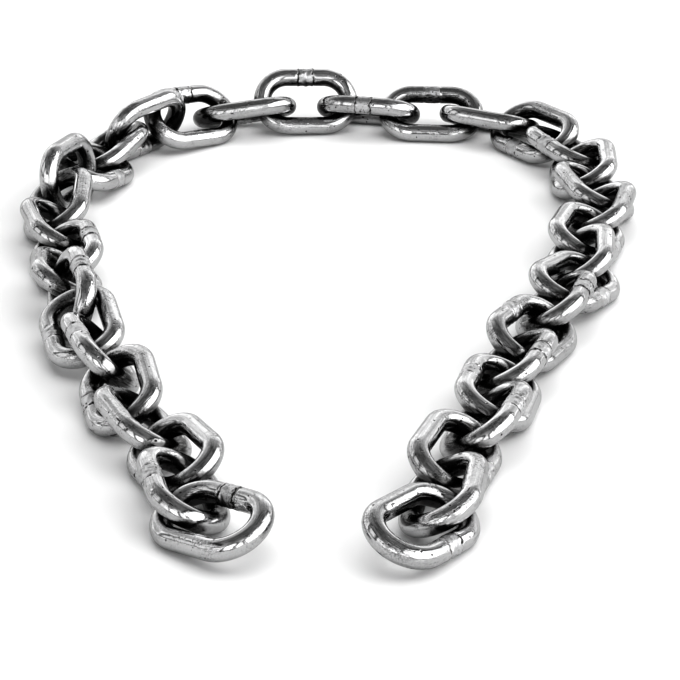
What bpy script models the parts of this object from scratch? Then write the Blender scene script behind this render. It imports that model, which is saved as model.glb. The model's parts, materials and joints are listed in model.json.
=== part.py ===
"""Length of polished stainless anchor chain, laid on a level floor in a horseshoe.

Every link is one closed, welded loop of round wire. The links are separate pieces:
each passes through the eyes of its two neighbours and leans over against them.
Link 1 is the free end at -X, link 38 the free end at +X, and the open end of the
horseshoe faces -Y. Units are metres, +Z is up and the floor is z = 0.
"""
import math

import bpy
from mathutils import Euler, Matrix, Vector

MM = 0.001

# Driving dimensions of one link
WIRE_DIAMETER = 10 * MM
INSIDE_LENGTH = 40 * MM
OUTSIDE_WIDTH = 39 * MM

# The butt weld in the middle of one long side stands a little proud of the wire
WELD_LENGTH = 10 * MM
WELD_SHOULDER = 1.5 * MM
WELD_SWELL = 1.03

# Facets round the wire and steps round each link end
WIRE_FACETS = 10
CROWN_STEPS = 8

# How each link lies, from link 1 round to link 38: x and y of its middle in millimetres,
# then heading, pitch and lean in degrees. The heading turns from +X towards +Y and points
# on to the next link, pitch raises that end, and a plus lean raises the outer long side.
LAYOUT = [
    (-48, -245, 137, -8, -22), (-61, -218, 103, 3, 28), (-66, -188, 114, -5, -31),
    (-82, -156, 115, 3, 31), (-94, -123, 102, 7, -31), (-106, -87, 109, 2, 46),
    (-117, -57, 104, 8, -20), (-124, -28, 104, 5, -69), (-130, 7, 95, -8, 31),
    (-133, 40, 103, 0, -31), (-140, 75, 107, 2, 29), (-143, 105, 90, 10, -29),
    (-140, 134, 72, -5, 81), (-130, 164, 69, -12, 22), (-124, 191, 66, 8, -22),
    (-104, 214, 50, 1, -71), (-80, 237, 37, -6, 42), (-50, 254, 7, 6, -26),
    (-15, 260, 6, -2, 53), (21, 257, -12, 0, -31), (57, 252, -4, 0, 30),
    (90, 243, -28, 0, -24), (114, 221, -55, 1, 30), (131, 193, -62, -3, -23),
    (137, 164, -92, 0, 28), (140, 132, -75, -2, -25), (140, 101, -104, -1, 27),
    (131, 68, -106, 3, -27), (125, 34, -95, -1, 32), (120, 5, -120, 8, -23),
    (109, -24, -106, 1, 33), (95, -59, -117, 3, -32), (84, -92, -111, -2, 29),
    (76, -121, -103, 2, -26), (69, -153, -110, -2, 33), (54, -186, -109, 0, -32),
    (48, -221, -98, 0, 28), (38, -248, -126, 5, -23),
]

# Links that ride up on their neighbours, with the clear height under them in millimetres.
# Every other link lies down on the floor.
PROPPED = {7: 4}

# Links with the weld on their inner long side. The rest have it on their outer one.
WELD_INSIDE = {1, 4, 8, 9, 10, 11, 13, 14, 20, 23, 24, 25, 27, 29, 32, 34, 37}

STEEL_COLOUR = (0.62, 0.62, 0.62, 1.0)
STEEL_ROUGHNESS = 0.18


def link_centreline(weld_side):
    """Points and wire thickness factors round one link, its long axis along X."""
    radius = (OUTSIDE_WIDTH - WIRE_DIAMETER) / 2
    crown_centre = (INSIDE_LENGTH + WIRE_DIAMETER) / 2 - radius
    half_weld = WELD_LENGTH / 2
    points = []
    for end in (1, -1):
        for step in range(CROWN_STEPS + 1):
            angle = math.radians(90 - 180 * step / CROWN_STEPS)
            x = crown_centre + radius * math.cos(angle)
            points.append((end * x, end * radius * math.sin(angle), 1.0))
        # The straight side that follows this crown holds the weld if it is on the chosen side
        if weld_side == -end:
            for along, thickness in (
                (half_weld, 1.0),
                (half_weld - WELD_SHOULDER, WELD_SWELL),
                (WELD_SHOULDER - half_weld, WELD_SWELL),
                (-half_weld, 1.0),
            ):
                points.append((end * along, weld_side * radius, thickness))
    return points


def make_link_mesh(name, roll, weld_side):
    """Sweep the round wire once round a link. Roll turns the facets about the wire."""
    curve = bpy.data.curves.new(name, "CURVE")
    curve.dimensions = "3D"
    # The facets lie on the round wire, so their corners stand a little outside it
    curve.bevel_depth = WIRE_DIAMETER / 2 / math.cos(math.pi / WIRE_FACETS)
    curve.bevel_resolution = (WIRE_FACETS - 4) // 2
    points = link_centreline(weld_side)
    spline = curve.splines.new("POLY")
    spline.points.add(len(points) - 1)
    for place, (x, y, thickness) in zip(spline.points, points):
        place.co = (x, y, 0.0, 1.0)
        place.radius = thickness
        place.tilt = roll
    spline.use_cyclic_u = True
    wire = bpy.data.objects.new(name, curve)
    bpy.context.scene.collection.objects.link(wire)
    evaluated = wire.evaluated_get(bpy.context.evaluated_depsgraph_get())
    mesh = bpy.data.meshes.new_from_object(evaluated)
    bpy.data.objects.remove(wire)
    mesh.name = name
    mesh.shade_smooth()
    return mesh


def steel(name):
    """Polished stainless steel for one link."""
    material = bpy.data.materials.new(f"{name}_steel")
    material.use_nodes = True
    shader = material.node_tree.nodes["Principled BSDF"]
    shader.inputs["Base Color"].default_value = STEEL_COLOUR
    shader.inputs["Metallic"].default_value = 1.0
    shader.inputs["Roughness"].default_value = STEEL_ROUGHNESS
    return material


def add_link(number, collection):
    """Add one link, turned as it lies and let down until it meets the floor."""
    x, y, heading, pitch, lean = LAYOUT[number - 1]
    weld_side = -1 if number in WELD_INSIDE else 1
    # The same roll as the lean brings a facet level under the link's lower side
    mesh = make_link_mesh(f"link_{number:02d}", math.radians(abs(lean)), weld_side)
    mesh.materials.append(steel(mesh.name))
    turn = Euler((math.radians(lean), math.radians(-pitch), math.radians(heading)))
    lowest = min((turn.to_matrix() @ vertex.co).z for vertex in mesh.vertices)
    link = bpy.data.objects.new(mesh.name, mesh)
    link.rotation_euler = turn
    link.location = (x * MM, y * MM, PROPPED.get(number, 0) * MM - lowest)
    collection.objects.link(link)
    return link


def centre_in_plan(links):
    """Move all the links together until their outline seen from above is centred."""
    corners = []
    for link in links:
        placed = Matrix.LocRotScale(link.location, link.rotation_euler, None)
        corners += [placed @ vertex.co for vertex in link.data.vertices]
    middle_x = (min(c.x for c in corners) + max(c.x for c in corners)) / 2
    middle_y = (min(c.y for c in corners) + max(c.y for c in corners)) / 2
    for link in links:
        link.location -= Vector((middle_x, middle_y, 0.0))


def main():
    for old in list(bpy.data.objects):
        bpy.data.objects.remove(old)
    chain = bpy.data.collections.new("anchor_chain")
    bpy.context.scene.collection.children.link(chain)
    links = [add_link(number, chain) for number in range(1, len(LAYOUT) + 1)]
    centre_in_plan(links)


main()
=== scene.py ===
"""Looks for a length of polished stainless anchor chain, laid out in a horseshoe.

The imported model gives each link's place. This script models two smooth links, one for each
kind of weld, lays a copy over every link of the frame, finishes the steel, and sets up a
pale floor, a soft studio light and a camera. Units are metres.
"""

import json
import math

import bmesh
import bpy
import numpy as np
from bpy.props import FloatProperty, FloatVectorProperty, IntProperty, PointerProperty
from mathutils import Matrix, Vector

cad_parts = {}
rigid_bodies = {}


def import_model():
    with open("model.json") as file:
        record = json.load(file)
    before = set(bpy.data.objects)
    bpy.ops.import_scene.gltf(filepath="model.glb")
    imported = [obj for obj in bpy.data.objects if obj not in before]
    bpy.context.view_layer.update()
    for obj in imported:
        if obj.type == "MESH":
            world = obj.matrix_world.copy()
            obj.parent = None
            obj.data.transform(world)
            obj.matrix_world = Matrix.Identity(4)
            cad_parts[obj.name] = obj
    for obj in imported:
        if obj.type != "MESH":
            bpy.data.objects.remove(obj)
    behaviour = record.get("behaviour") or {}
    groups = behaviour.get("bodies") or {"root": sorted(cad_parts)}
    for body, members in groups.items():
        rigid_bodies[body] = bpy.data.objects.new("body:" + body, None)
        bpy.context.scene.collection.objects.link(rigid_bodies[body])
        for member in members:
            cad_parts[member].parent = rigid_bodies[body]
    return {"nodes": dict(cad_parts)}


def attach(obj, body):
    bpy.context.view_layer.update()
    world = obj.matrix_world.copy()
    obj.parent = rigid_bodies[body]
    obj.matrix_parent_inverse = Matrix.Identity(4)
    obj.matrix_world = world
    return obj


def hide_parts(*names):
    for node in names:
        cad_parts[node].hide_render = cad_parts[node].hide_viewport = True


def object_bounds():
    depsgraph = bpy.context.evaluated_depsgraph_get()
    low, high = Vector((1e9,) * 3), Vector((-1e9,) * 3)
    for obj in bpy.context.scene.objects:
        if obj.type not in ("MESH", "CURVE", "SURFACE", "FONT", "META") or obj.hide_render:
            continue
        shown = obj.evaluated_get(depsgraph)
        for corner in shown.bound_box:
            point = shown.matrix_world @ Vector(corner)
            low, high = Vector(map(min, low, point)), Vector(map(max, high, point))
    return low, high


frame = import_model()
FRAME_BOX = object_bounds()

bl_info = {
    "name": "Anchor Chain Length",
    "version": (1, 0, 0),
    "blender": (4, 5, 0),
    "location": "3D View > Sidebar > Anchor Chain",
    "description": "Dresses a length of anchor chain in polished, welded steel links",
    "category": "Object",
}

MM = 0.001

# Two places nearer to each other than this count as one
SAME_PLACE = 0.01 * MM

# A link's weld lies within this share of its length from its middle, and its crowns beyond
WELD_SHARE = 0.15

# Shape of the weld. The lip is the width of the sunk line at each edge of a trimmed weld, and
# the groove is the wire's thickness there. The ridge inside it swells this much more than the
# weld's middle, and a ground weld keeps this much of the swell.
WELD_LIP = 0.5 * MM
WELD_GROOVE = 0.955
WELD_RIDGE = 1.5
GROUND_SWELL = 0.6

# How far the lumps fade out past the weld
LUMP_FADE = 0.7 * MM

# The middle of the weld's ragged edge in the finish, and how far it wanders
WELD_EDGE = 4.3 * MM
EDGE_WANDER = 4.0 * MM

# Grain of the noises that shape the surface, and how much stronger the ragged one is
WAVER_GRAIN = 18 * MM
LUMP_GRAIN = 1.6 * MM
RAGGED_GRAIN = 2.5 * MM
RAGGED_STRENGTH = 2

# Noise level that leaves the surface where it is. The high one moves it mostly inwards.
EVEN_LEVEL = 0.5
INWARDS_LEVEL = 0.85

# Steps on each half of a long side, and points round each crown, that stand for a link's wire
SIDE_STEPS = 4
CROWN_BEADS = 16

# A bead nearer to a point than this, in wire diameters, belongs to the point's own wire
NEAREST_BEAD = 0.45

# Links on each side of one whose nearby wires darken it with painted shade
SHADING_LINKS = 2

# How far the wire map slides from each link to the next, in metres
MAP_SLIDE = 0.37

# The photograph is square, and its frame is as wide as Blender's camera sensor
PHOTO_SIDE_PX = 680
SENSOR_WIDTH_MM = 36

LINK_NAMES = sorted(frame["nodes"])

# Links whose weld was left as trimmed. The others' welds were ground nearly flush.
LEFT_AS_TRIMMED = {1, 5, 8, 10, 17, 19, 20, 27, 31, 33}


# Where the links of the frame lie

def link_corners(name):
    """The separate corners of one link of the frame, as rows of x, y, z."""
    corners = np.array([v.co for v in frame["nodes"][name].data.vertices])
    return np.unique(corners.round(7), axis=0)


def link_lie(name):
    """One link's middle, and its long and wide directions, the weld on the wide way's side."""
    corners = link_corners(name)
    centroid = corners.mean(axis=0)
    _, directions = np.linalg.eigh(np.cov((corners - centroid).T))
    long_way, wide_way = directions[:, 2], directions[:, 1]
    along = (corners - centroid) @ long_way
    # The two crowns balance about the link's middle. The weld, on one side only, does not.
    crowns = corners[np.abs(along - (along.max() + along.min()) / 2) > WELD_SHARE * np.ptp(along)]
    middle = crowns.mean(axis=0)
    if (centroid - middle) @ wide_way < 0:
        wide_way = -wide_way
    return Vector(middle), Vector(long_way), Vector(wide_way)


def link_places():
    """For every link, the matrix that carries a link modelled at the origin to its place."""
    lies = {name: link_lie(name) for name in LINK_NAMES}
    places = {}
    for number, name in enumerate(LINK_NAMES):
        middle, long_way, wide_way = lies[name]
        follower = LINK_NAMES[min(number + 1, len(LINK_NAMES) - 1)]
        leader = LINK_NAMES[max(number - 1, 0)]
        onwards = lies[follower][0] - lies[leader][0]
        if long_way.dot(onwards) < 0:
            long_way = -long_way
        turn = Matrix((long_way, wide_way, long_way.cross(wide_way))).transposed()
        places[name] = Matrix.Translation(middle) @ turn.to_4x4()
    return places


# Sizes and colours that a user would change

class LinkSizes(bpy.types.PropertyGroup):
    """Sizes of one link"""

    wire_diameter: FloatProperty(
        name="Wire diameter", description="Thickness of the round wire",
        default=10 * MM, unit="LENGTH",
    )
    inside_length: FloatProperty(
        name="Inside length", description="Length of the eye of a link",
        default=40 * MM, unit="LENGTH",
    )
    outside_width: FloatProperty(
        name="Outside width", description="Width of a link over both long sides",
        default=39 * MM, unit="LENGTH",
    )
    weld_length: FloatProperty(
        name="Weld length", description="Length of the upset zone at the butt weld",
        default=9 * MM, unit="LENGTH",
    )
    weld_swell: FloatProperty(
        name="Weld swell", description="How much thicker the wire is at the weld",
        default=1.03, min=1.0,
    )
    weld_lumps: FloatProperty(
        name="Weld lumps", description="Height of the lumps left on the trimmed weld",
        default=0.45 * MM, unit="LENGTH",
    )
    wire_waver: FloatProperty(
        name="Wire waver", description="Depth of the soft waves that bending leaves on the wire",
        default=0.13 * MM, unit="LENGTH",
    )
    steps_around: IntProperty(
        name="Steps around", description="Faces round the wire", default=48,
    )
    crown_steps: IntProperty(
        name="Crown steps", description="Faces along the two round ends together", default=64,
    )
    side_cuts: IntProperty(
        name="Side cuts", description="Cuts along half of a long side", default=20,
    )


class SteelLook(bpy.types.PropertyGroup):
    """Finish of the steel"""

    colour: FloatVectorProperty(
        name="Steel", description="Colour of the polished steel", subtype="COLOR",
        size=4, min=0.0, max=1.0, default=(0.86, 0.86, 0.865, 1.0),
    )
    shade: FloatVectorProperty(
        name="Hazy steel", description="Colour of the steel where the polish is hazy",
        subtype="COLOR", size=4, min=0.0, max=1.0, default=(0.46, 0.46, 0.46, 1.0),
    )
    # Besides the real dirt, this colour is also painted as shade where links crowd each other
    stain_and_shade: FloatVectorProperty(
        name="Stain", description="Colour of the dirt in the pits and the weld's edges",
        subtype="COLOR", size=4, min=0.0, max=1.0, default=(0.035, 0.034, 0.033, 1.0),
    )
    gloss: FloatProperty(
        name="Polish roughness", description="Roughness where the polish is best",
        default=0.09, min=0.0, max=1.0,
    )
    dull: FloatProperty(
        name="Dull roughness", description="Roughness of the ground weld and the scuffs",
        default=0.42, min=0.0, max=1.0,
    )


class StudioSet(bpy.types.PropertyGroup):
    """Floor, light and camera"""

    floor_colour: FloatVectorProperty(
        name="Floor", description="Colour of the pale floor", subtype="COLOR",
        size=4, min=0.0, max=1.0, default=(0.86, 0.86, 0.86, 1.0),
    )
    mirrored_floor: FloatVectorProperty(
        name="Mirrored floor", description="Colour of the floor as the steel mirrors it",
        subtype="COLOR", size=4, min=0.0, max=1.0, default=(0.50, 0.50, 0.50, 1.0),
    )
    light_strength: FloatProperty(
        name="Light", description="Brightness of the soft boxes", default=1.0, min=0.0,
    )
    floor_light: FloatProperty(
        name="Floor light", description="Power of the overhead light on the floor",
        default=38.0, min=0.0, unit="POWER",
    )
    camera_height: FloatProperty(
        name="Camera height", description="Height of the camera above the floor",
        default=0.5456, unit="LENGTH",
    )
    camera_distance: FloatProperty(
        name="Camera distance", description="Level distance from the camera to the middle",
        default=1.2541, unit="LENGTH",
    )
    camera_pitch: FloatProperty(
        name="Camera pitch", description="How far the camera looks down",
        default=math.radians(24.16), subtype="ANGLE",
    )
    camera_aside: FloatProperty(
        name="Camera aside", description="How far the camera stands to the right of the middle",
        default=0.0047, unit="LENGTH",
    )
    focal_px: FloatProperty(
        name="Focal length", description="The lens's focal length in pixels of the photograph",
        default=2779.0,
    )


class AnchorChain(bpy.types.PropertyGroup):
    """Everything that a user can set"""

    link: PointerProperty(type=LinkSizes)
    steel: PointerProperty(type=SteelLook)
    studio: PointerProperty(type=StudioSet)


# Shader maths

class Value:
    """One output socket, so that shader maths can be written as plain expressions."""

    def __init__(self, graph, socket):
        self.graph, self.socket = graph, socket

    def maths(self, operation, first, second=None):
        """A Math node on one or two values or numbers."""
        inputs = {0: first} if second is None else {0: first, 1: second}
        return self.graph.node("ShaderNodeMath", {"operation": operation}, inputs)

    def __add__(self, other):
        return self.maths("ADD", self, other)

    def __sub__(self, other):
        return self.maths("SUBTRACT", self, other)

    def __mul__(self, other):
        return self.maths("MULTIPLY", self, other)

    def __truediv__(self, other):
        return self.maths("DIVIDE", self, other)

    def __rsub__(self, other):
        return self.maths("SUBTRACT", other, self)

    __radd__, __rmul__ = __add__, __mul__

    def __abs__(self):
        return self.maths("ABSOLUTE", self)

    def above(self, low, high):
        """A smooth step from 0 at low to 1 at high."""
        settings = {"interpolation_type": "SMOOTHSTEP", "clamp": True}
        inputs = {"Value": self, "From Min": low, "From Max": high}
        return self.graph.node("ShaderNodeMapRange", settings, inputs, "Result")

    def between(self, low, high):
        """Straight from low, where this value is 0, to high, where it is 1."""
        return self * (high - low) + low


class Graph:
    """The nodes of one material or world."""

    def __init__(self, tree):
        self.tree = tree
        tree.nodes.clear()

    def node(self, kind, settings=None, inputs=None, output=0):
        """Add a node, set it up, feed its sockets and return one of its outputs."""
        made = self.tree.nodes.new(kind)
        for name, setting in (settings or {}).items():
            setattr(made, name, setting)
        for name, value in (inputs or {}).items():
            if isinstance(value, Value):
                self.tree.links.new(value.socket, made.inputs[name])
            else:
                made.inputs[name].default_value = value
        return Value(self, made.outputs[output]) if len(made.outputs) else made

    def stretched(self, pattern, along, across, turn=0.0):
        """A wire map pattern whose grain runs along the wire, or at an angle to it."""
        inputs = {"Vector": pattern, "Rotation": (0.0, 0.0, turn), "Scale": (along, across, 1.0)}
        return self.node("ShaderNodeMapping", {"vector_type": "POINT"}, inputs)

    def noise(self, place, scale=1.0, detail=2.0, roughness=0.5):
        inputs = {"Vector": place, "Scale": scale, "Detail": detail, "Roughness": roughness}
        return self.node("ShaderNodeTexNoise", {}, inputs, "Fac")

    def mix(self, share, first, second):
        """A colour mixed from two, by a share from 0 to 1."""
        settings = {"data_type": "RGBA", "blend_type": "MIX"}
        return self.node("ShaderNodeMix", settings, {0: share, 6: first, 7: second}, 2)


def polished_steel(look):
    """Polished stainless wire with die lines, scratches, pits, scuffs and ground welds."""
    material = bpy.data.materials.new("polished_steel")
    material.use_nodes = True
    g = Graph(material.node_tree)
    wire = g.node("ShaderNodeUVMap", {"uv_map": "wire"})
    place = g.node("ShaderNodeTexCoord", output="Object")
    from_weld = g.node("ShaderNodeAttribute", {"attribute_name": "from_weld"}, output="Fac")
    # How much nearby wires crowd each point, painted below as shade in the colour
    crevice_shade = g.node("ShaderNodeAttribute", {"attribute_name": "crevice_shade"}, output="Fac")
    crisp = g.node("ShaderNodeAttribute", {"attribute_name": "crisp"}, output="Fac")

    # Drawn and rolled wire keeps ridges and fine lines along its length
    ridges = g.noise(g.stretched(wire, 12, 300), detail=2.0)
    die_lines = g.noise(g.stretched(wire, 18, 1300), detail=3.0, roughness=0.6)
    dents = g.noise(place, scale=170.0, detail=1.0)
    grain = g.noise(place, scale=1300.0, detail=2.0, roughness=0.6)

    # Scratches are thin contours of stretched noise, kept to a few patches
    patches = g.noise(place, scale=75.0).above(0.47, 0.6)
    long_scratch = g.noise(g.stretched(wire, 45, 330, math.radians(8)), detail=1.0)
    cross_scratch = g.noise(g.stretched(wire, 50, 380, math.radians(58)), detail=1.0)
    scratches = (1 - abs(long_scratch - 0.5).above(0.004, 0.03)) * patches
    scratches = scratches + (1 - abs(cross_scratch - 0.5).above(0.003, 0.02)) * patches * 0.8

    # Pits are small dots inside a few cells, and nicks are short dark dashes
    spots = {"Vector": place, "Scale": 330.0, "Randomness": 1.0}
    cells = g.node("ShaderNodeTexVoronoi", {"feature": "F1"}, spots, "Distance")
    chosen = g.noise(place, scale=190.0, detail=0.0).above(0.58, 0.62)
    pits = (1 - cells.above(0.10, 0.24)) * chosen
    dashes = {"Vector": g.stretched(wire, 90, 420, math.radians(35)), "Scale": 1.0}
    nick_cells = g.node("ShaderNodeTexVoronoi", {"feature": "F1"}, dashes, "Distance")
    nicks = (1 - nick_cells.above(0.12, 0.22)) * g.noise(place, scale=105.0).above(0.60, 0.64)

    scuffs = g.noise(place, scale=110.0, detail=4.0, roughness=0.65).above(0.50, 0.66)
    haze = g.noise(place, scale=26.0, detail=3.0)

    # The weld is ground across the wire, between two ragged edges
    ragged = g.noise(place, scale=480.0, detail=3.0, roughness=0.65)
    away = from_weld + (ragged - 0.5) * EDGE_WANDER
    weld = 1 - away.above(3.4 * MM, 4.4 * MM)
    edge = 1 - abs(away - WELD_EDGE).above(0.2 * MM, 0.75 * MM)
    edge = edge * (g.noise(place, scale=260.0, detail=1.0) + crisp * 0.28).above(0.54, 0.66)
    grind = g.noise(g.stretched(wire, 700, 120, math.radians(14)), detail=3.0, roughness=0.6)
    spatter = g.noise(place, scale=620.0, detail=3.0, roughness=0.7)

    # Heights in millimetres
    height = ridges * 0.24 + dents * 0.08 + die_lines * 0.035 + grain * (scuffs * 0.06 + 0.004)
    height = height - scratches * 0.03 - (pits + nicks) * 0.10
    height = height + weld * (grind * 0.10 + spatter * 0.16) - edge * 0.16
    bump = g.node(
        "ShaderNodeBump", {}, {"Height": height, "Strength": 1.0, "Distance": MM}, "Normal"
    )

    # Oil and dirt stay in the pits and along the weld's edges, and the colour is darkened with
    # painted shade where links crowd each other
    crevice_shade_mask = (crevice_shade + (ragged - 0.5) * 0.2).above(0.21, 0.66)
    dirt_and_shade = pits * 0.9 + nicks * 0.9 + edge * 0.95 + scratches * 0.25
    dirt_and_shade = dirt_and_shade + weld * spatter.above(0.58, 0.68) * (0.35 + crisp * 0.35)
    dirt_and_shade = dirt_and_shade + scuffs * grain.above(0.5, 0.62) * 0.3
    # Painted shade between links joins the dirt here and darkens the colour towards the stain
    dirt_and_shade = (dirt_and_shade + crevice_shade_mask * 0.85).above(0.0, 1.1)
    hazy = haze.above(0.40, 0.7) * 0.3 + grain.above(0.32, 0.68) * (0.25 + scuffs * 0.4)
    hazy = hazy + die_lines.above(0.35, 0.65) * 0.15 - weld * 0.15
    tint = g.mix(hazy.above(0.0, 1.1), tuple(look.colour), tuple(look.shade))
    colour = g.mix(dirt_and_shade, tint, tuple(look.stain_and_shade))
    dullness = scuffs * 0.35 + scratches * 0.4 + pits + nicks + edge + weld * 0.85 + haze * 0.1
    roughness = (dullness + crevice_shade_mask * 0.3).above(0.0, 1.3).between(look.gloss, look.dull)

    shader = g.node(
        "ShaderNodeBsdfPrincipled", {},
        {"Base Color": colour, "Metallic": 1.0, "Roughness": roughness, "Normal": bump},
    )
    g.node("ShaderNodeOutputMaterial", {}, {"Surface": shader})
    return material


# Modelling one link

def deselect_all():
    for thing in bpy.data.objects:
        thing.select_set(False)


def make_active(thing):
    deselect_all()
    thing.select_set(True)
    bpy.context.view_layer.objects.active = thing


def select_vertices(test):
    """In edit mode, select just the vertices whose place passes the test."""
    bpy.ops.mesh.select_all(action="DESELECT")
    mesh = bpy.context.edit_object.data
    shape = bmesh.from_edit_mesh(mesh)
    for vertex in shape.verts:
        vertex.select = test(vertex.co)
    shape.select_flush(True)
    bmesh.update_edit_mesh(mesh)


def select_lengthwise_edges(start, end):
    """In edit mode, select the edges that run along X from start to end."""
    bpy.ops.mesh.select_mode(type="EDGE")
    bpy.ops.mesh.select_all(action="DESELECT")
    mesh = bpy.context.edit_object.data
    shape = bmesh.from_edit_mesh(mesh)
    for rod in shape.edges:
        ends = sorted(vertex.co.x for vertex in rod.verts)
        rod.select = abs(ends[0] - start) < SAME_PLACE and abs(ends[1] - end) < SAME_PLACE
    bmesh.update_edit_mesh(mesh)


def bend_radius(sizes):
    """Radius of the wire's centreline round a crown."""
    return (sizes.outside_width - sizes.wire_diameter) / 2


def crown_middle(sizes):
    """How far from the link's middle a crown's bend is centred."""
    return (sizes.inside_length + sizes.wire_diameter) / 2 - bend_radius(sizes)


def weld_profile(sizes, away, trimmed):
    """Thickness of the wire at a distance from the weld's middle, with 1 as the plain wire."""
    half = sizes.weld_length / 2
    swell = sizes.weld_swell - 1
    if not trimmed:
        share = min(away / (half + WELD_LIP), 1)
        return 1.0 + GROUND_SWELL * swell * max(math.cos(math.pi / 2 * share), 0)
    if away > half + WELD_LIP:
        return 1.0
    if away > half:
        return WELD_GROOVE
    if away > half - 2 * WELD_LIP:
        return 1.0 + WELD_RIDGE * swell
    return 1.0 + swell


def model_link(sizes, trimmed):
    """One link at the origin, long axis X, lying in the XY plane with its weld at +Y."""
    bend, reach = bend_radius(sizes), crown_middle(sizes)
    deselect_all()
    bpy.ops.mesh.primitive_torus_add(
        major_segments=sizes.crown_steps, minor_segments=sizes.steps_around,
        major_radius=bend, minor_radius=sizes.wire_diameter / 2,
    )
    link = bpy.context.object
    link.name = "link_pattern"

    # Half a ring is one crown, and its cut ends run on to the link's middle
    bpy.ops.object.mode_set(mode="EDIT")
    bpy.ops.mesh.select_all(action="SELECT")
    bpy.ops.mesh.bisect(
        plane_co=(0, 0, 0), plane_no=(1, 0, 0), clear_inner=True, threshold=SAME_PLACE
    )
    bpy.ops.mesh.select_all(action="SELECT")
    bpy.ops.transform.translate(value=(reach, 0, 0))
    select_vertices(lambda co: abs(co.x - reach) < SAME_PLACE)
    bpy.ops.mesh.extrude_region_move(TRANSFORM_OT_translate={"value": (-reach, 0, 0)})
    select_lengthwise_edges(0.0, reach)
    bpy.ops.mesh.subdivide(number_cuts=sizes.side_cuts)
    bpy.ops.mesh.select_mode(type="VERT")

    # The weld's zone is swollen, and a trimmed weld has a sunk line at its edge
    step = reach / (sizes.side_cuts + 1)
    for ring in range(sizes.side_cuts + 1):
        x = ring * step
        thickness = weld_profile(sizes, x, trimmed)
        if thickness == 1.0:
            continue
        select_vertices(lambda co: co.y > 0 and abs(co.x - x) < SAME_PLACE)
        bpy.ops.transform.resize(value=(1, thickness, thickness), center_override=(x, bend, 0))
    bpy.ops.object.mode_set(mode="OBJECT")

    mirror = link.modifiers.new("other_half", "MIRROR")
    mirror.merge_threshold = SAME_PLACE
    bpy.ops.object.modifier_apply(modifier=mirror.name)
    bpy.ops.object.mode_set(mode="EDIT")
    bpy.ops.mesh.select_all(action="SELECT")
    bpy.ops.mesh.normals_make_consistent(inside=False)
    bpy.ops.object.mode_set(mode="OBJECT")
    bpy.ops.object.shade_smooth()
    map_wire(link, sizes)
    mark_weld(link, sizes)
    return link


def along_and_around(point, sizes):
    """Distance round the link and round the wire, both in metres, for a point of a link."""
    bend, reach = bend_radius(sizes), crown_middle(sizes)
    half_turn = math.pi * bend
    x, y, z = point
    # Along runs from the middle of the weld's side over the +X crown, and back over the other
    if abs(x) > reach:
        from_crown = Vector((abs(x) - reach, y))
        outwards = from_crown.length - bend
        along = reach + bend * math.atan2(from_crown.x, y)
    else:
        outwards = abs(y) - bend
        along = abs(x) if y > 0 else 2 * reach + half_turn - abs(x)
    around = math.atan2(z, outwards) * sizes.wire_diameter / 2
    full = 2 * (2 * reach + half_turn)
    return (along if x >= 0 else full - along), around


def map_wire(link, sizes):
    """Lay a UV map in metres along and around the wire, whole over its two seams."""
    full_along = 2 * (2 * crown_middle(sizes) + math.pi * bend_radius(sizes))
    full_around = math.pi * sizes.wire_diameter
    mesh = link.data
    where = [along_and_around(v.co, sizes) for v in mesh.vertices]
    for old in list(mesh.uv_layers):
        mesh.uv_layers.remove(old)
    uv = mesh.uv_layers.new(name="wire")
    for face in mesh.polygons:
        spots = [where[mesh.loops[i].vertex_index] for i in face.loop_indices]
        for axis, full in ((0, full_along), (1, full_around)):
            highest = max(spot[axis] for spot in spots)
            spots = [
                tuple(
                    value + full if i == axis and highest - value > full / 2 else value
                    for i, value in enumerate(spot)
                )
                for spot in spots
            ]
        for i, spot in zip(face.loop_indices, spots):
            uv.data[i].uv = spot


def store(mesh, name, values):
    """Keep one number for each vertex, for the material to read."""
    mesh.attributes.new(name, "FLOAT", "POINT")
    mesh.attributes[name].data.foreach_set("value", values)


def mark_weld(link, sizes):
    """Store each point's distance from the weld, and group the points that grow lumps."""
    lumps_end = sizes.weld_length / 2 + LUMP_FADE
    group = link.vertex_groups.new(name="lumpy")
    distances = []
    for vertex in link.data.vertices:
        away = abs(vertex.co.x) if vertex.co.y > 0 else sizes.inside_length
        distances.append(away)
        if away < lumps_end:
            group.add([vertex.index], min((lumps_end - away) / LUMP_FADE, 1.0), "REPLACE")
    store(link.data, "from_weld", distances)


def vertex_places(mesh):
    """Where a mesh's vertices are, as rows of x, y, z."""
    places = np.zeros(len(mesh.vertices) * 3, np.float32)
    mesh.vertices.foreach_get("co", places)
    return places.reshape(-1, 3)


def wire_beads(sizes):
    """Points along the middle of one link's wire, and the mean length of wire for each.

    They stand evenly round the crowns, and closer together at the middles of the long sides.
    """
    bend, reach = bend_radius(sizes), crown_middle(sizes)
    spacing = reach / (2 * SIDE_STEPS + 1)
    beads = []
    for end in (1, -1):
        for step in range(-SIDE_STEPS, SIDE_STEPS + 1):
            beads.append((end * abs(step) * spacing, bend if step < 0 else -bend, 0.0))
        for step in range(CROWN_BEADS):
            turn = math.pi * (step + 0.5) / CROWN_BEADS - math.pi / 2
            beads.append((end * (reach + bend * math.cos(turn)), bend * math.sin(turn), 0.0))
    full = 2 * (2 * reach + math.pi * bend)
    return np.array(beads), full / len(beads)


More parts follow.
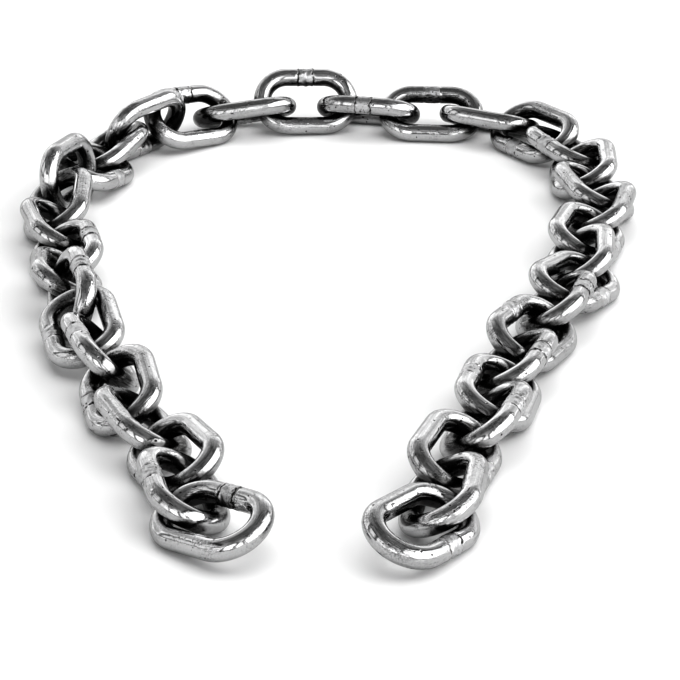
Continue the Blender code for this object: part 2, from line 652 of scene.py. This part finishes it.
def store_crevice_shade(pieces, places, sizes):
    """Store how much of its outlook each point loses to the wires round it, from 0 to 1, which
    the material paints as shade in the steel's colour.
    """
    beads, length = wire_beads(sizes)
    wires = [np.array([place @ Vector(bead) for bead in beads]) for place in places]
    for number, piece in enumerate(pieces):
        mesh = piece.data
        spots = vertex_places(mesh)
        normals = np.zeros(len(mesh.vertices) * 3, np.float32)
        mesh.vertices.foreach_get("normal", normals)
        normals = normals.reshape(-1, 3)
        lost = np.zeros(len(spots))
        first = max(number - SHADING_LINKS, 0)
        for wire in wires[first:number + SHADING_LINKS + 1]:
            for bead in wire:
                towards = bead - spots
                distance = np.linalg.norm(towards, axis=1)
                facing = np.maximum((towards * normals).sum(axis=1) / distance, 0.0)
                share = facing * sizes.wire_diameter * length / (math.pi * distance ** 2)
                lost += np.where(distance > sizes.wire_diameter * NEAREST_BEAD, share, 0.0)
        store(mesh, "crevice_shade", np.minimum(lost, 1.0).astype(np.float32))


def noise_texture(name, size, depth):
    """A cloudy noise, its grain a length, and its depth the number of finer layers."""
    texture = bpy.data.textures.new(name, "CLOUDS")
    texture.noise_scale = size
    texture.noise_depth = depth
    return texture


def displace(piece, name, texture, strength, group="", direction="NORMAL"):
    """Push the surface by a noise, mostly inwards along its normals or else evenly all ways."""
    push = piece.modifiers.new(name, "DISPLACE")
    push.texture = texture
    push.texture_coords = "LOCAL"
    push.direction = direction
    push.mid_level = EVEN_LEVEL if direction == "RGB_TO_XYZ" else INWARDS_LEVEL
    push.strength = strength
    push.vertex_group = group
    make_active(piece)
    bpy.ops.object.modifier_apply(modifier=push.name)


def keep_inside(mesh, box):
    """Flatten whatever would stand out of a box, whose underside is the floor."""
    low, high = (np.array(corner) for corner in box)
    margin = 0.001 * MM
    places = np.clip(vertex_places(mesh), low + margin, high - margin)
    mesh.vertices.foreach_set("co", places.astype(np.float32).ravel())
    mesh.update()


def shift_map(mesh, distance):
    """Slide the wire map along, so that no two links carry the same scratches."""
    uv = mesh.uv_layers["wire"].data
    spots = np.zeros(len(uv) * 2, np.float32)
    uv.foreach_get("uv", spots)
    spots[0::2] += distance
    uv.foreach_set("uv", spots)


class ANCHORCHAIN_OT_links(bpy.types.Operator):
    """Model a link with each kind of weld and lay a copy over every link of the frame"""

    bl_idname = "anchorchain.links"
    bl_label = "Lay Links"

    def execute(self, context):
        settings = context.scene.anchor_chain
        sizes = settings.link
        steel = polished_steel(settings.steel)
        patterns = {trimmed: model_link(sizes, trimmed) for trimmed in (True, False)}
        waver = noise_texture("wire_waver", WAVER_GRAIN, 1)
        lumps = noise_texture("weld_lumps", LUMP_GRAIN, 2)
        ragged = noise_texture("ragged_edges", RAGGED_GRAIN, 1)
        ragged.cloud_type = "COLOR"
        pieces = []
        places = link_places()
        for number, (name, place) in enumerate(places.items()):
            trimmed = number + 1 in LEFT_AS_TRIMMED
            pattern = patterns[trimmed]
            mesh = pattern.data.copy()
            mesh.transform(place)
            piece = bpy.data.objects.new(f"steel_{name}", mesh)
            context.scene.collection.objects.link(piece)
            for group in pattern.vertex_groups:
                piece.vertex_groups.new(name=group.name)
            displace(piece, "waver", waver, sizes.wire_waver)
            displace(piece, "lumps", lumps, sizes.weld_lumps, "lumpy")
            raggedness = sizes.weld_lumps * RAGGED_STRENGTH
            displace(piece, "ragged", ragged, raggedness, "lumpy", "RGB_TO_XYZ")
            piece.vertex_groups.clear()
            shift_map(mesh, number * MAP_SLIDE)
            crisp = 1.0 if trimmed else 0.0
            store(mesh, "crisp", np.full(len(mesh.vertices), crisp, np.float32))
            mesh.materials.clear()
            mesh.materials.append(steel)
            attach(piece, "root")
            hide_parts(name)
            pieces.append(piece)
        for pattern in patterns.values():
            bpy.data.objects.remove(pattern)
        for piece in pieces:
            keep_inside(piece.data, FRAME_BOX)
        # Paint shade into the steel's colour where neighbouring wires crowd each point
        store_crevice_shade(pieces, list(places.values()), sizes)
        return {"FINISHED"}


# Floor, light and camera

def aim(azimuth, elevation):
    """A direction from the chain, azimuth 0 towards the camera and 90 to its right."""
    a, e = math.radians(azimuth), math.radians(elevation)
    return Vector((math.sin(a) * math.cos(e), -math.cos(a) * math.cos(e), math.sin(e)))


def soft_box(g, ray, azimuth, elevation, width, height, blur):
    """Masks of one soft box and its black rim, the box's sizes as half-widths in degrees."""
    centre = aim(azimuth, elevation)
    across = Vector((0, 0, 1)).cross(centre).normalized()
    upwards = centre.cross(across)

    def along(direction):
        settings = {"operation": "DOT_PRODUCT"}
        inputs = {0: ray, 1: tuple(direction)}
        return g.node("ShaderNodeVectorMath", settings, inputs, "Value")

    ahead = along(centre)
    sideways = abs(along(across) / ahead)
    up = abs(along(upwards) / ahead)
    w, h = math.tan(math.radians(width)), math.tan(math.radians(height))
    facing = ahead.above(0.0, 0.05)
    inside = (1 - sideways.above(w * (1 - blur), w)) * (1 - up.above(h * (1 - blur), h))
    near, far = RIM_FADE
    whole = (1 - sideways.above(w + near, w + far)) * (1 - up.above(h + near, h + far))
    return inside * facing, whole * facing


# Soft boxes round the chain: azimuth, elevation, half-width, half-height in degrees,
# the share of the half-width and half-height that fades out, and the brightness
SOFT_BOXES = [
    (72, 28, 50, 29, 0.30, 1.7),
    (-20, 21, 14, 18, 0.45, 1.5),
    (-88, 30, 16, 18, 0.50, 0.7),
]

# How far outside a soft box its black rim begins and ends to fade, as a share of its distance,
# and how much of the room's light the rim takes away
RIM_FADE = (0.04, 0.12)
RIM_BLACKNESS = 0.9

# The floor, the light over it, what the camera sees behind it, and the camera's clipping
FLOOR_SIZE = 16
FLOOR_ROUGHNESS = 0.9
FLOOR_LIGHT_SIZE = 3.0
FLOOR_LIGHT_PLACE = (0.4, 0.0, 2.2)
BACKDROP_COLOUR = (0.9, 0.9, 0.9, 1.0)
CLIP_START = 0.05
CLIP_END = 50


def room_light(g, ray, height):
    """Brightness of the room behind the soft boxes, from its walls to its dim ceiling."""
    walls = 0.95 - height.above(0.35, 0.92) * 0.80
    things = g.noise(ray, scale=2.6, detail=3.0, roughness=0.55).above(0.36, 0.64)
    skirting = 1 - abs(height - 0.02).above(0.02, 0.07)
    return walls * (0.55 + things * 0.85) * (1 - skirting * 0.6)


class ANCHORCHAIN_OT_studio(bpy.types.Operator):
    """Set up the pale floor, the soft light and the camera"""

    bl_idname = "anchorchain.studio"
    bl_label = "Set Up Studio"

    def execute(self, context):
        studio = context.scene.anchor_chain.studio
        self.floor(studio)
        self.surroundings(context.scene, studio)
        self.floor_light(context.scene, studio)
        self.camera(context.scene, studio)
        context.scene.view_settings.view_transform = "Standard"
        context.scene.view_settings.look = "High Contrast"
        return {"FINISHED"}

    def floor(self, studio):
        deselect_all()
        bpy.ops.mesh.primitive_plane_add(size=FLOOR_SIZE)
        floor = bpy.context.object
        floor.name = "pale_floor"
        material = bpy.data.materials.new("pale_floor")
        material.use_nodes = True
        g = Graph(material.node_tree)
        pale, mirrored = (
            g.node(
                "ShaderNodeBsdfPrincipled", {},
                {"Base Color": tuple(colour), "Roughness": FLOOR_ROUGHNESS},
            )
            for colour in (studio.floor_colour, studio.mirrored_floor)
        )
        # The steel mirrors a darker table, which keeps its lower side from washing out
        in_mirror = g.node("ShaderNodeLightPath", output="Is Glossy Ray")
        shader = g.node("ShaderNodeMixShader", {}, {0: in_mirror, 1: pale, 2: mirrored})
        g.node("ShaderNodeOutputMaterial", {}, {"Surface": shader})
        floor.data.materials.append(material)

    def surroundings(self, scene, studio):
        world = bpy.data.worlds.new("studio")
        world.use_nodes = True
        scene.world = world
        g = Graph(world.node_tree)
        ray = g.node("ShaderNodeTexCoord", output="Generated")
        height = g.node("ShaderNodeSeparateXYZ", {}, {"Vector": ray}, "Z")
        light = room_light(g, ray, height)
        for azimuth, elevation, wide, high, blur, strength in SOFT_BOXES:
            lit, whole = soft_box(g, ray, azimuth, elevation, wide, high, blur)
            light = light * (1 - whole * RIM_BLACKNESS) + lit * strength
        seen = g.node("ShaderNodeLightPath", output="Is Camera Ray")
        surround = g.node("ShaderNodeBackground", {}, {"Strength": light * studio.light_strength})
        backdrop = g.node("ShaderNodeBackground", {}, {"Color": BACKDROP_COLOUR})
        both = g.node("ShaderNodeMixShader", {}, {0: seen, 1: surround, 2: backdrop})
        g.node("ShaderNodeOutputWorld", {}, {"Surface": both})

    def floor_light(self, scene, studio):
        """A wide soft light overhead that brightens the floor and doesn't show in the steel."""
        data = bpy.data.lights.new("floor_light", "AREA")
        data.shape, data.size = "DISK", FLOOR_LIGHT_SIZE
        data.energy = studio.floor_light
        light = bpy.data.objects.new("floor_light", data)
        light.location = FLOOR_LIGHT_PLACE
        light.visible_glossy = False
        scene.collection.objects.link(light)

    def camera(self, scene, studio):
        data = bpy.data.cameras.new("camera")
        data.sensor_width = SENSOR_WIDTH_MM
        data.lens = SENSOR_WIDTH_MM * studio.focal_px / PHOTO_SIDE_PX
        data.clip_start, data.clip_end = CLIP_START, CLIP_END
        camera = bpy.data.objects.new("camera", data)
        camera.location = (studio.camera_aside, -studio.camera_distance, studio.camera_height)
        camera.rotation_euler = (math.pi / 2 - studio.camera_pitch, 0, 0)
        scene.collection.objects.link(camera)
        scene.camera = camera


class ANCHORCHAIN_PT_panel(bpy.types.Panel):
    """Sidebar panel with the sizes, the looks and the steps"""

    bl_idname = "ANCHORCHAIN_PT_panel"
    bl_label = "Anchor Chain"
    bl_space_type = "VIEW_3D"
    bl_region_type = "UI"
    bl_category = "Anchor Chain"

    def draw(self, context):
        chain = context.scene.anchor_chain
        for title, group, step in (
            ("Links", chain.link, ANCHORCHAIN_OT_links),
            ("Steel", chain.steel, None),
            ("Studio", chain.studio, ANCHORCHAIN_OT_studio),
        ):
            box = self.layout.box()
            box.label(text=title)
            for name in group.__annotations__:
                box.prop(group, name)
            if step:
                box.operator(step.bl_idname)


CLASSES = (
    LinkSizes, SteelLook, StudioSet, AnchorChain,
    ANCHORCHAIN_OT_links, ANCHORCHAIN_OT_studio, ANCHORCHAIN_PT_panel,
)


def register():
    for made in CLASSES:
        bpy.utils.register_class(made)
    bpy.types.Scene.anchor_chain = PointerProperty(type=AnchorChain)


def unregister():
    del bpy.types.Scene.anchor_chain
    for made in reversed(CLASSES):
        bpy.utils.unregister_class(made)


def main():
    register()
    bpy.ops.anchorchain.studio()
    bpy.ops.anchorchain.links()


if __name__ == "__main__":
    main()
